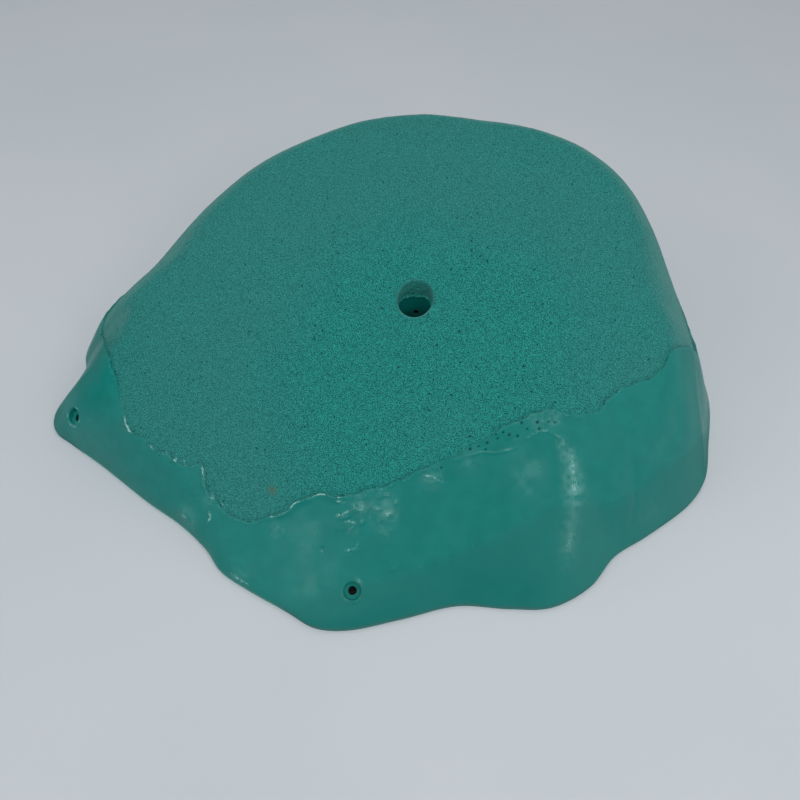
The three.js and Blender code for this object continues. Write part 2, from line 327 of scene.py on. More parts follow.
def edge_runs(count):
    """How far up each column the texture's edge lies."""
    first = inside_edge(base).argmax(axis=0)
    run = base_run[first, np.arange(COARSE_COLUMNS)]
    run = sum(np.roll(run, k) for k in range(-2, 3)) / 5
    at = np.arange(count) / count * COARSE_COLUMNS
    return np.interp(at, np.arange(COARSE_COLUMNS + 1), np.r_[run, run[:1]])


def edge_distance(points):
    """Millimetres from the texture's edge: above 0 on the gripping top, below on the smooth skirt."""
    return distance_to(tree_of(edge_fine), points) * np.where(inside_edge(points), 1, -1)


# Where the bead of the smooth skin stands out most: pixel, reach in millimetres, height
STRONG_BEAD = [
    (127, 420, 5, 0.9), (131, 430, 4, 0.9), (204, 470, 4, 0.8), (206, 482, 5, 0.9), (209, 492, 3, 0.7),
    (276, 515, 4, 0.9), (290, 507, 7, 0.9), (302, 500, 6, 0.8), (322, 494, 8, 1.0), (338, 497, 3, 0.6),
    (152, 445, 2, 0.7), (160, 450, 2, 0.7), (176, 460, 2, 0.6), (231, 515, 2, 0.5), (430, 466, 6, 0.5),
    (505, 428, 7, 0.4), (560, 413, 6, 0.4),
]

# Lines of the smooth skirt, through pixels: width in millimetres, height, and strength of the painted
# glint along them
SKIRT_LINES = [
    ([(564, 436), (570, 455), (573, 480), (573, 505), (571, 530), (567, 552), (562, 575), (556, 592)],
     11, 1.5, 0),
    ([(569, 450), (573, 480), (573, 500)], 2.6, 0.1, 0.42),
    ([(570, 528), (568, 545), (566, 556)], 2.4, 0.1, 0.42),
    ([(424, 475.5), (430, 476.5), (436, 478.5), (441, 482)], 0.7, 0.4, 0.6),
    ([(440, 468), (441, 475), (444, 483)], 0.7, 0.3, 0.3),
    ([(452, 462), (468, 456), (483, 452.5), (495, 453.5), (509, 451), (518, 447.5)], 0.9, 0.35, 0.1),
    ([(526, 439), (536, 432.5), (546, 431), (553, 434), (561, 439)], 0.8, 0.4, 0.4),
    ([(629, 402), (630, 425), (631, 448), (634, 472), (636, 496), (632, 525)], 3.0, -0.3, 0),
    ([(634, 472), (635, 496), (631, 530)], 2.4, -0.4, 0),
    ([(690, 360), (695, 390), (700, 425), (703, 460)], 6, 0.8, 0),
    ([(337, 515.5), (344, 513.5), (351, 510.5)], 0.8, 0.4, 0.7),
    ([(344, 523), (350, 521), (357, 524)], 0.8, 0.3, 0.5),
    ([(346, 550), (355, 549.5)], 0.8, 0.3, 0.75),
    ([(355, 549), (358, 542)], 0.8, 0.2, 0.35),
    ([(338, 501), (345, 502.5)], 0.8, 0.3, 0.8),
    ([(357, 504), (366, 508), (377, 506)], 1.2, 0.3, 0.3),
    ([(380, 514), (388, 512), (396, 515)], 1.2, 0.3, 0.3),
    ([(338.5, 505), (338, 540), (339, 585)], 0.9, -0.28, 0),
    ([(210, 512), (211, 517), (209, 522)], 0.8, 0.4, 0.7),
    ([(118, 440), (150, 470), (182, 505)], 9, -0.7, 0),
    ([(436, 470), (470, 520), (470, 580)], 12, -0.6, 0),
    ([(495, 446), (508, 444), (522, 440)], 4.5, -0.8, 0),
    ([(230, 572), (240, 580), (249, 585)], 1.0, 0.4, 0.5),
    ([(186, 515), (190, 521)], 0.9, 0.3, 0.4),
    ([(151, 444), (153.7, 450)], 0.6, 0.35, 0.65),
    ([(165.3, 449), (168.7, 455.5)], 0.6, 0.35, 0.5),
    ([(175.6, 455), (176.3, 461.5)], 0.65, 0.4, 0.75),
    ([(183.4, 458.5), (185.6, 465.5)], 0.65, 0.4, 0.75),
    ([(202.8, 465), (204.4, 473)], 0.6, 0.3, 0.5),
    ([(205, 477), (206, 483)], 0.5, 0.3, 0.35),
    ([(211.3, 493), (213.9, 501)], 0.7, 0.4, 0.65),
    ([(220.8, 501.5), (224.8, 509.5)], 0.6, 0.3, 0.45),
]

# Painted highlights of the smooth skirt, pale cloudy reflections and the glow along the ridge, where the
# roughness is raised too: pixel, reach in millimetres, strength
PAINTED_HIGHLIGHTS = [
    (362, 507, 5, 0.9), (384, 511, 7, 0.9), (382, 500, 3, 0.7), (307, 532, 15, 0.36),
    (307, 558, 16, 0.36), (309, 582, 15, 0.33), (278, 530, 4, 0.7), (431, 477, 5, 0.6),
    (530, 476, 10, 0.5), (470, 460, 6, 0.4), (352, 528, 3, 0.7), (384, 529, 4, 0.5), (242, 579, 7, 0.5),
    (188, 518, 6, 0.8), (208, 500, 4, 0.4), (650, 512, 9, 0.5), (538, 420, 4, 0.7), (553, 419, 4, 0.8),
    (562, 445, 3, 1.0), (567, 455, 4, 1.2), (570, 466, 4.5, 1.4), (572, 478, 5, 1.7),
    (573, 490, 5, 1.7), (573, 502, 5, 1.4), (572, 514, 5, 1.3), (571, 526, 5, 1.4), (569, 538, 5, 1.6),
    (567, 550, 4.5, 1.3), (564, 562, 4, 0.6),
]

# Lumps and dents of the smooth skirt: pixel, radius in millimetres, height
SKIRT_LUMPS = [
    (187, 517, 5, 1.2), (178, 509, 4, 0.6), (193, 527, 3, 0.6), (232, 571, 5, 1.1), (240, 577, 4, 0.8),
    (250, 584, 3, 0.9), (254, 577, 1.6, 0.6), (278, 530, 2.4, 0.8), (283, 536, 2.0, 0.5),
    (349, 503, 3, 0.7), (343, 517, 2.4, 0.5), (352, 524, 3, 0.6), (360, 512, 4, 0.7),
    (372, 507, 3.5, 0.6), (383, 516, 3.5, 0.6), (366, 498, 3, 0.5), (379, 500, 2.5, 0.5),
    (351, 548, 3, 0.5), (346, 556, 2.2, 0.4), (392, 527, 2.6, 0.4), (393, 570, 1.1, 0.6),
    (323, 549, 1.2, -0.8), (412, 505, 6, 0.5), (268, 560, 9, 0.7), (300, 600, 8, 0.6),
    (650, 420, 13, -0.9), (615, 500, 12, 0.9), (655, 470, 10, 0.6), (500, 520, 16, -0.8),
    (430, 560, 12, 0.5),
]

# Wrinkled patches of the smooth skirt: pixel, reach in millimetres, height
WRINKLES = [
    (364, 507, 12, 0.7), (386, 505, 9, 0.6), (347, 526, 6, 0.4), (350, 546, 5, 0.3), (241, 578, 8, 0.6),
    (188, 518, 6, 0.6), (207, 498, 5, 0.3), (128, 424, 5, 0.3), (279, 531, 4, 0.4),
    (430, 478, 12, 0.25), (508, 446, 12, 0.25),
]

# Bubbles left open along the texture's edge: pixel, radius in millimetres
EDGE_BUBBLES = [
    (521.5, 423, 0.75), (537, 422.5, 0.8), (548.5, 422, 0.6), (554.5, 423, 0.7), (527, 429, 0.6),
    (539, 429, 0.85), (509, 435, 0.9), (503, 432.5, 0.65), (496, 434.5, 0.6), (517.5, 436, 0.7),
    (497.5, 438.5, 0.6), (487, 442.5, 0.85), (470, 449, 0.9), (478.5, 446.5, 0.6), (485.5, 449.5, 0.6),
    (441, 467.5, 0.6),
]


def screw_frames():
    """Centre of the mouth and axis of each set-screw recess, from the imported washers."""
    found = []
    for name in ("front", "left", "back"):
        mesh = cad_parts["screw_washer_" + name].data
        points = np.array([v.co for v in mesh.vertices]) / MM - [*BOLT_AXIS, 0]
        middle = points.mean(axis=0)
        axis = np.linalg.svd(points - middle)[2][2]
        axis *= np.sign(axis[2])
        found.append((middle + axis * (SCREW_MOUTH - SCREW_WASHER_MIDDLE), axis))
    return found


SCREWS = screw_frames()


def surface_relief(points, normals, edge):
    """How far the real surface stands out from the smooth form at each point, the painted glints on its
    crests with the painted shade inside its bubbles, and the painted highlights of its pale, cloudy
    patches."""
    painted_glint_and_shade, painted_highlight = np.zeros(edge.shape), np.zeros(edge.shape)
    grip = smooth_step(edge, -0.5, 0.4)
    skin = 1 - grip
    off_rim = smooth_step(points[..., 2], 3.0, 14.0)
    tall = np.array([1, 1, 0.45])
    skirt_waves = waves(points * tall, ((38, 1, 0.6), (15, 2, 0.16))) + noise(points, 5, 3) * 0.035
    top_waves = waves(points, ((60, 4, 0.7), (16, 5, 0.22), (3.2, 6, 0.05), (1.7, 7, 0.08)))
    relief = (skin * skirt_waves * 0.9 + grip * (top_waves - 0.4)) * off_rim

    near = np.abs(edge) < 14
    close, gap = points[near], edge[near]
    step = 0.2 + 0.3 * noise(close, 11, 8) + 0.2 * noise(close, 3.5, 9)
    for u, v, reach, tall_by in STRONG_BEAD:
        step += tall_by * bump(length(close - spot(u, v)), reach)
    crest = smooth_step(-gap, -0.5, 0.7) * (0.35 + 0.65 * bump(np.maximum(-gap - 1.0, 0), 2.0))
    relief[near] += np.maximum(step, 0) * crest * smooth_step(-gap, 14, 8)
    # The bead's painted glint, broken up
    broken = 0.35 + 0.65 * smooth_step(noise(close, 2.4, 14), -0.4, 0.3)
    painted_glint_and_shade[near] += smooth_step(step, 0.5, 1.3) * bump(gap + 0.6, 0.4) * broken * 0.85
    relief += skin * 0.35 * smooth_step(-edge, 40, 4)
    relief -= grip * 0.25 * bump(edge - 0.9, 0.9)

    for line, width, height, painted_glint_strength in SKIRT_LINES:
        path = polyline([spot(u, v) for u, v in line], 0.5)
        middle, reach = path.mean(axis=0), np.ptp(path, axis=0).max() + 3 * width
        close = (length(points - middle) < reach) & (normals[..., 1] < 0.5)
        if close.any():
            tree = tree_of(path)
            away = distance_to(tree, points[close])
            ends = [length(points[close] - end) for end in (path[0], path[-1])]
            fade = smooth_step(np.minimum(*ends), 0, 2 * width) * 0.6 + 0.4
            relief[close] += height * bump(away, width) * fade * off_rim[close]
            # A painted glint along the line
            painted_glint_and_shade[close] += painted_glint_strength * bump(away, width) * fade * (0.7 + 0.5 * noise(points[close], 1.5, 23))
    for u, v, radius, height in SKIRT_LUMPS:
        away = length(points - spot(u, v))
        close = away < 3 * radius
        squeeze = 1 + 0.35 * noise(points[close], radius * 0.9, 21)
        relief[close] += height * bump(away[close] * squeeze, radius) * off_rim[close]
    for u, v, reach, height in WRINKLES:
        away = length(points - spot(u, v))
        close = (away < 2 * reach) & (edge < -0.5)
        crease = smooth_step(noise(points[close] * [0.6, 1, 1], 2.8, 61), -0.1, 0.7)
        relief[close] += height * bump(away[close], reach) * crease
        # A painted glint on the wrinkles' crests
        painted_glint_and_shade[close] += height * bump(away[close], reach) * smooth_step(crease, 0.8, 1) * 0.45
    # Painted highlights in cloudy patches
    for u, v, reach, strength in PAINTED_HIGHLIGHTS:
        away = length((points - spot(u, v)) * [1, 0.8, 1])
        close = (away < 2 * reach) & (edge < 0)
        cloud = 0.55 + 0.6 * noise(points[close], reach * 0.45, 62)
        painted_highlight[close] = np.maximum(painted_highlight[close], strength * bump(away[close], reach) * cloud)
    for u, v, radius in EDGE_BUBBLES:
        away = length(points - spot(u, v))
        close = away < 3 * radius
        rim = bump(away[close] - radius * 1.6, radius * 0.5)
        relief[close] += 0.12 * rim - 1.2 * bump(away[close], radius * 0.85)
        uneven = 1 + 0.5 * noise(points[close], 1.5, 63)
        # Painted shade inside the bubble
        painted_glint_and_shade[close] -= bump(away[close], radius * 1.1) * radius * uneven
    for mouth, axis in SCREWS:
        from_mouth = points - mouth
        close = length(from_mouth) < 16
        part = from_mouth[close]
        off_axis = length(part - (part @ axis)[:, None] * axis)
        wobble = 1 + 0.4 * noise(points[close], 3.5, 31)
        relief[close] += 0.5 * bump(off_axis - 5.8, 1.0) * wobble
        relief[close] -= 0.5 * bump(off_axis, 9) * skin[close]
        # A painted glint, broken up, on the ring round the recess
        broken = smooth_step(noise(points[close], 2.5, 32), -0.3, 0.5)
        painted_glint_and_shade[close] += 0.55 * bump(off_axis - 5.9, 0.6) * broken
    return relief, painted_glint_and_shade, painted_highlight


# The casting

# Pits of the top: how many, the least radius, what is added at random, and the depth as a share of it
PIT_COUNT, PIT_SEED = 500, 5
PIT_RADIUS, PIT_RADIUS_SPREAD, PIT_DEPTH_SHARE = 0.5, 0.8, 0.6

# Rows before the bolt hole in which the top's relief fades, and by what share
FADING_ROWS, FADING_SHARE = 14, 0.6

# Unevenness of the set-screw recesses' walls, and the angle from which an edge stays sharp
RECESS_ROUGHNESS, SHARP_ANGLE = 0.09, math.radians(50)

# What edge_distance says on the back, in the recesses, and in the bolt hole's rough and smooth parts
BACK_VALUE, RECESS_VALUE, ROUGH_BORE_VALUE, SMOOTH_BORE_VALUE = -60.0, -30.0, 3.0, -24.0

# The bolt hole's wall: a ring of flash between its rough upper part and its smooth lower part, and a pit
FLASH_HEIGHT, BORE_PIT_RADIUS, BORE_PIT_DEPTH = 74.4, 0.9, 2.4
BORE_PIT = np.array([0.9, 10.25, 60.4])


def random_pits(points, edge):
    """Depths of round pits scattered over the gripping top."""
    chooser = np.random.default_rng(PIT_SEED)
    flat, depth = points.reshape(-1, 3), np.zeros(edge.size)
    tree = tree_of(flat)
    radius_from_axis = np.hypot(flat[:, 0], flat[:, 1])
    usable = np.where((edge.reshape(-1) > 2) & (radius_from_axis > COUNTERBORE_RADIUS + 3))[0]
    weight = radius_from_axis[usable]
    centres = chooser.choice(usable, PIT_COUNT, replace=False, p=weight / weight.sum())
    sizes = PIT_RADIUS + PIT_RADIUS_SPREAD * chooser.random(PIT_COUNT) ** 4
    for centre, size in zip(centres, sizes):
        for _, i, away in tree.find_range(flat[centre], 2.6 * size):
            depth[i] = max(depth[i], size * PIT_DEPTH_SHARE * math.exp(-((away / size) ** 2)))
    return depth.reshape(edge.shape)


def ring_mesh(rings):
    """Closes a stack of rings into points and faces. A ring may have twice or half the points of the one
    before it."""
    starts = np.r_[0, np.cumsum([len(ring) for ring in rings])]
    faces = []
    for k, ring in enumerate(rings):
        after = (k + 1) % len(rings)
        a, b, n, m = starts[k], starts[after], len(ring), len(rings[after])
        if n == m:
            faces += [(a + j, a + (j + 1) % n, b + (j + 1) % n, b + j) for j in range(n)]
            continue
        fine, coarse, fine_count = (a, b, n) if n > m else (b, a, m)
        for j in range(min(n, m)):
            left, middle, right = (fine + (2 * j + i) % fine_count for i in range(3))
            near, beyond = coarse + j, coarse + (j + 1) % min(n, m)
            made = [(left, middle, near), (middle, beyond, near), (middle, right, beyond)]
            faces += made if n > m else [face[::-1] for face in made]
    return np.vstack(rings), faces


def link(piece):
    scene.collection.objects.link(piece)
    return piece


def set_values(mesh, name, values):
    attribute = mesh.attributes.get(name) or mesh.attributes.new(name, "FLOAT", "POINT")
    attribute.data.foreach_set("value", np.asarray(values, np.float32))


def mesh_object(name, points, faces, **values):
    mesh = bpy.data.meshes.new(name)
    mesh.from_pydata(to_frame(points).tolist(), [], faces)
    for key, value in values.items():
        set_values(mesh, key, value)
    mesh.validate()
    return link(bpy.data.objects.new(name, mesh))


def settle(piece):
    """Applies the piece's modifiers."""
    mesh = bpy.data.meshes.new_from_object(piece.evaluated_get(bpy.context.evaluated_depsgraph_get()))
    piece.modifiers.clear()
    piece.data = mesh


def cut(piece, cutter):
    """Cuts one object out of another, and removes it."""
    modifier = piece.modifiers.new("cut", "BOOLEAN")
    modifier.operation, modifier.solver, modifier.object = "DIFFERENCE", "MANIFOLD", cutter
    settle(piece)
    bpy.data.objects.remove(cutter)


def capped_faces(rings, sides):
    """The faces of a stack of rings whose ends close on two last points, the first end's point first."""
    faces, last = grid_faces(rings, sides), (rings - 1) * sides
    tip = rings * sides
    faces += [(tip, (j + 1) % sides, j) for j in range(sides)]
    return faces + [(tip + 1, last + j, last + (j + 1) % sides) for j in range(sides)]


def lathe(name, profile, sides, place, axis, rough=0.0):
    """A solid turned about an axis: the profile's (radius, height) rows start and end on it."""
    axis = Vector(axis)
    side = axis.orthogonal().normalized()
    other = axis.cross(side)
    axis, profile = np.array(axis), np.array(profile, float)
    rings = []
    for radius, height in profile[1:-1]:
        angles = np.arange(sides) * 2 * math.pi / sides
        ring = place + np.outer(np.cos(angles) * radius, side) + np.outer(np.sin(angles) * radius, other)
        rings.append(ring + height * axis)
    points = np.vstack([*rings, place + profile[0, 1] * axis, place + profile[-1, 1] * axis])
    if rough:
        points += np.column_stack([noise(points, 1.3, 40 + k) for k in range(3)]) * rough
    skin = np.full(len(points), RECESS_VALUE)
    return mesh_object(name, points, capped_faces(len(rings), sides), edge_distance=skin)


def hollow_solid():
    """The hollow of the back, less its boss, ribs and screw bosses, with its corners rounded."""
    count, below = HOLLOW_COLUMNS, -6.0
    cos, sin, radius, height = skirt(foot_columns(count), HOLLOW_ROWS)
    along = np.gradient(np.stack([radius, height]), axis=1)
    along /= np.linalg.norm(along, axis=0)
    radius, height = radius - WALL * along[1], np.maximum(height + WALL * along[0], below / 2)
    radius = np.minimum.accumulate(radius, axis=0)
    rings = [np.column_stack([radius[0] * cos, radius[0] * sin, np.full(count, below)])]
    rings += [np.column_stack([r * cos, r * sin, z]) for r, z in zip(radius, height)]
    for share in np.linspace(1, 0, HOLLOW_ROWS + 1)[1:-1]:
        r = radius[-1] * share
        z = np.maximum(top_height(r * cos, r * sin) - WALL, below / 2)
        rings.append(np.column_stack([r * cos, r * sin, z]))
    points = np.vstack([*rings, (0, 0, below), (0, 0, top_height(0, 0) - WALL)])
    hollow = mesh_object("hollow", points, capped_faces(len(rings), count))
    tall = 2 * HEIGHT_AT_BOLT
    upright = [(0, -tall), (BOLT_BOSS_RADIUS, -tall), (BOLT_BOSS_RADIUS, tall), (0, tall)]
    cut(hollow, lathe("boss", upright, 96, np.zeros(3), (0, 0, 1)))
    for mouth, axis in SCREWS:
        radius = SCREW_BOSS_RADIUS
        bar = [(0, -2 * radius - 6), (radius, -2 * radius - 6), (radius, 2 * radius), (0, 2 * radius)]
        cut(hollow, lathe("screw_boss", bar, 48, mouth, axis))
    for direction in RIB_DIRECTIONS:
        angle = math.radians(direction)
        ahead = np.array([math.cos(angle), math.sin(angle), 0])
        side = np.array([-math.sin(angle), math.cos(angle), 0])
        half, up = RIB_THICKNESS / 2, np.array([0, 0, 1.0])
        corners = [a * HOLD_LENGTH * ahead + s * half * side + z * tall * up
                   for z in (-1, 1) for a, s in ((0, -1), (1, -1), (1, 1), (0, 1))]
        sides = [(0, 3, 2, 1), (4, 5, 6, 7), (0, 1, 5, 4), (1, 2, 6, 5), (2, 3, 7, 6), (3, 0, 4, 7)]
        cut(hollow, mesh_object("rib", corners, sides))
    remesh = hollow.modifiers.new("remesh", "REMESH")
    remesh.mode, remesh.voxel_size = "VOXEL", HOLLOW_VOXEL * MM
    soften = hollow.modifiers.new("soften", "SMOOTH")
    soften.factor, soften.iterations = 0.5, 12
    settle(hollow)
    set_values(hollow.data, "edge_distance", np.full(len(hollow.data.vertices), BACK_VALUE))
    return hollow


def casting():
    """The whole casting: its outer skin, the bolt's bore and the back's plane as one closed stack of
    rings, less the hollow and the set-screw recesses."""
    rounding = BORE_MOUTH_ROUNDING
    grid, _ = outer_grid(COLUMNS, ROWS, COUNTERBORE_RADIUS + rounding, edge_runs(COLUMNS))
    normals = grid_normals(grid)
    edge = edge_distance(grid)
    relief, painted_glint_and_shade, painted_highlight = surface_relief(grid, normals, edge)
    relief -= random_pits(grid, edge) * smooth_step(edge, 1, 3)
    relief[:len(RIM_LEVELS) + 1] = 0
    rows = len(grid)
    mouth_share = smooth_step(np.arange(rows), rows - FADING_ROWS, rows - 1)[:, None]
    relief *= 1 - FADING_SHARE * mouth_share
    outer = grid + normals * relief[..., None]

    # Rows keep every point, then every second one and so on, as they grow shorter towards the bolt hole
    rings, values = [], {"edge_distance": [], "painted_glint_and_shade": [], "painted_highlight": []}

    def add(ring, *given):
        rings.append(ring)
        for made, value in zip(values.values(), (*given, 0, 0)):
            made.append(value * np.ones(len(ring)))

    spacing = length(np.roll(grid, -1, axis=1) - grid).mean(axis=1)
    stride = 1
    for k in range(len(outer)):
        crowded = k > 8 and spacing[k] * stride < 0.55 * spacing[len(RIM_LEVELS)]
        if crowded and COLUMNS // stride > BORE_COLUMNS:
            stride *= 2
        add(outer[k, ::stride], *(value[k, ::stride] for value in (edge, painted_glint_and_shade, painted_highlight)))
    last = rings[-1]
    count = len(last)
    angle = np.arctan2(last[:, 1], last[:, 0])
    cos, sin = np.cos(angle), np.sin(angle)

    def bore_ring(radius, z):
        return np.column_stack([radius * cos, radius * sin, z * np.ones(count)])

    for k in range(1, MOUTH_ROWS + 1):
        turn = k / MOUTH_ROWS * math.pi / 2
        radius = COUNTERBORE_RADIUS + rounding * (1 - math.sin(turn))
        add(bore_ring(radius, last[:, 2] - rounding * (1 - math.cos(turn))), ROUGH_BORE_VALUE)
    lip = last[:, 2] - rounding
    seat = BOLT_SEAT_HEIGHT
    for k in range(1, BORE_ROWS + 1):
        z = lip + (seat - lip) * k / BORE_ROWS
        ring = bore_ring(COUNTERBORE_RADIUS, z)
        around = ring * [1, 1, 0]
        flash = FLASH_HEIGHT + noise(around, 4, 51) * 0.9 + noise(around, 1.5, 54) * 0.3
        below = smooth_step(flash - z, -0.4, 0.4)
        uneven = (0.2 + 0.2 * noise(ring, 1.8, 52)) * (1 - below) * smooth_step(lip - z, 0, 3)
        radius = COUNTERBORE_RADIUS + uneven + 0.05 * noise(ring, 6, 53) * below
        radius -= (0.9 + 0.35 * noise(around, 3, 55)) * bump(z - flash, 0.55)
        radius += BORE_PIT_DEPTH * bump(length(ring - BORE_PIT), BORE_PIT_RADIUS)
        if k == BORE_ROWS:
            radius = COUNTERBORE_RADIUS
        add(bore_ring(radius, z), ROUGH_BORE_VALUE + (SMOOTH_BORE_VALUE - ROUGH_BORE_VALUE) * below)
    for z in (seat, seat / 2, 0):
        add(bore_ring(BOLT_HOLE_RADIUS, z), BACK_VALUE)

    # The back's plane, from the bolt hole out to the foot
    for share in (0.03, 0.09, 0.22, 0.5):
        n = min(COLUMNS, len(rings[-1]) * 2)
        foot = outer[0, :: COLUMNS // n, :2]
        inner = foot / length(foot)[:, None] * BOLT_HOLE_RADIUS
        add(np.column_stack([inner + (foot - inner) * share, np.zeros(n)]), BACK_VALUE)
    values = {key: np.concatenate(made) for key, made in values.items()}
    shell = mesh_object("shell_casting", *ring_mesh(rings), **values)

    cut(shell, hollow_solid())
    hole, pocket, recess = SCREW_HOLE_RADIUS, SCREW_POCKET_RADIUS, SCREW_RECESS_RADIUS
    ledge, top = SCREW_LEDGE_TOP, SCREW_MOUTH
    profile = [
        (0, SCREW_HOLE_BOTTOM), (hole, SCREW_HOLE_BOTTOM), (hole, SCREW_POCKET_BOTTOM),
        (pocket, SCREW_POCKET_BOTTOM), (pocket, SCREW_POCKET_TOP), (hole, SCREW_POCKET_TOP),
        (hole, ledge - 0.35), (hole + 0.12, ledge - 0.12), (hole + 0.35, ledge), (recess - 1.2, ledge),
        (recess - 0.6, ledge), (recess - 0.15, ledge + 0.15), (recess, ledge + 0.5), (recess, top - 1.2),
        (recess + 0.05, top - 0.5), (recess + 0.15, top), (recess + 0.35, top + 0.6),
        (recess + 0.6, top + 1.4), (recess + 0.8, top + 12), (0, top + 12),
    ]
    lowered = [(radius, height - top) for radius, height in profile]
    for mouth, axis in SCREWS:
        cut(shell, lathe("recess", lowered, 72, mouth, axis, rough=RECESS_ROUGHNESS))

    # Points that a cut has made on an edge between two others take the value of a neighbour
    mesh = shell.data
    value = np.empty(len(mesh.vertices), np.float32)
    mesh.attributes["edge_distance"].data.foreach_get("value", value)
    ends = np.empty(len(mesh.edges) * 2, np.int32)
    mesh.edges.foreach_get("vertices", ends)
    ends = ends.reshape(-1, 2).T
    for a, b in (ends, ends[::-1]):
        unset = (value[a] == 0) & (value[b] != 0)
        value[a[unset]] = value[b[unset]]
    set_values(mesh, "edge_distance", value)
    mesh.shade_smooth()
    mesh.set_sharp_from_angle(angle=SHARP_ANGLE)
    return shell


# Materials

# Pixels of the flank at the left whose sheen is weak, and of the brown stain
FLANK, STAIN = (99, 370), (272, 490)


def colour(red, green, blue):
    """A colour as it looks in the photograph, 0 to 255, as the linear one that a shader takes."""
    tone = [c / 255 for c in (red, green, blue)]
    return [*(((c + 0.055) / 1.055) ** 2.4 if c > 10 / 255 else c / 12.92 for c in tone), 1]


class Shader:
    """The node tree of a material or of the world, with short calls to grow it."""

    def __init__(self, name, kind=bpy.data.materials):
        self.owner = kind.new(name)
        self.owner.use_nodes = True
        self.tree = self.owner.node_tree
        self.tree.nodes.clear()

    def node(self, kind, inputs=(), output=0, **settings):
        """Adds a node, links or fills its inputs, and returns one of its outputs."""
        made = self.tree.nodes.new("ShaderNode" + kind)
        for key, value in settings.items():
            setattr(made, key, value)
        for key, value in dict(inputs).items():
            self.fill(made.inputs[key], value)
        return made.outputs[output]

    def fill(self, socket, value):
        if isinstance(value, bpy.types.NodeSocket):
            self.tree.links.new(value, socket)
        else:
            socket.default_value = value

    def finish(self, kind, shader):
        """Makes a shader the one that the tree puts out, and returns the tree's owner."""
        self.fill(self.tree.nodes.new("ShaderNodeOutput" + kind).inputs[0], shader)
        return self.owner

    def principled(self, **values):
        """Ends a material with one shader that has those inputs."""
        inputs = {key.replace("_", " "): value for key, value in values.items()}
        return self.finish("Material", self.node("BsdfPrincipled", inputs))

    def math(self, operation, a, b=0.0, clamp=False):
        return self.node("Math", {0: a, 1: b}, operation=operation, use_clamp=clamp)

    def plus(self, a, b, clamp=False):
        return self.math("ADD", a, b, clamp)

    def minus(self, a, b):
        return self.math("SUBTRACT", a, b)

    def times(self, first, *others, clamp=False):
        for other in others:
            first = self.math("MULTIPLY", first, other, clamp)
        return first

    def ramp(self, value, start, end, low=0.0, high=1.0):
        """A smooth step of a value from low to high."""
        inputs = {"Value": value, "From Min": start, "From Max": end, "To Min": low, "To Max": high}
        return self.node("MapRange", inputs, interpolation_type="SMOOTHSTEP")

    def mix(self, share, a, b):
        return self.node("Mix", {0: share, 6: a, 7: b}, output=2, data_type="RGBA")

    def paint(self, share, *tone):
        """Lays a share of a colour over the body's."""
        self.body = self.mix(share, self.body, colour(*tone))

    @cached_property
    def at(self):
        """The point on the object in millimetres."""
        inputs = {0: self.node("TexCoord", output=3), 3: 1 / MM}
        return self.node("VectorMath", inputs, operation="SCALE")

    def distance(self, point, at=None):
        """Distance from a point that is given in millimetres from the bolt's axis."""
        inputs = {0: self.at if at is None else at, 1: to_frame(point) / MM}
        return self.node("VectorMath", inputs, output=1, operation="DISTANCE")

    def attribute(self, name):
        return self.node("Attribute", output=2, attribute_name=name)

    def noise(self, size, detail=2.0, roughness=0.5):
        inputs = {"Vector": self.at, "Scale": 1 / size, "Detail": detail, "Roughness": roughness}
        return self.node("TexNoise", inputs)

    def cells(self, size, output=0):
        return self.node("TexVoronoi", {"Vector": self.at, "Scale": 1 / size}, output=output)

    def bump(self, height, distance, normal=None):
        inputs = {"Height": height, "Strength": 1.0, "Distance": distance * MM}
        if normal is not None:
            inputs["Normal"] = normal
        return self.node("Bump", inputs)


